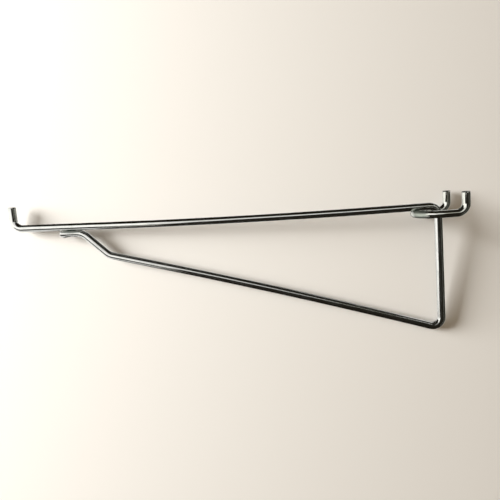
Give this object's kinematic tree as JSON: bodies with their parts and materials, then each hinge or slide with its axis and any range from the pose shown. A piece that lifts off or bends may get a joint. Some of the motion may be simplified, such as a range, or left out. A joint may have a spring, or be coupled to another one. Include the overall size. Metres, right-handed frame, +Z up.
{
  "type": "pegboard shelf bracket",
  "caption": "Triangular shelf bracket of bright plated round wire, with an upturned front lip and a welded hook whose upturned prongs hang it on a pegboard.",
  "frame": {"origin": "on the pegboard's front face, at the height of the peg holes' axes and midway between them", "axes": "+X points into the pegboard and away from the lip, +Z is up, and +Y runs along the row of peg holes"},
  "size_m": [0.3042, 0.0302, 0.1061],
  "materials": {
    "plated_steel": "bright plate over drawn steel wire, slightly dulled at the welds"
  },
  "bodies": {
    "root": {"frame_wire": "plated_steel", "peg_hook": "plated_steel"}
  },
  "joints": []
}
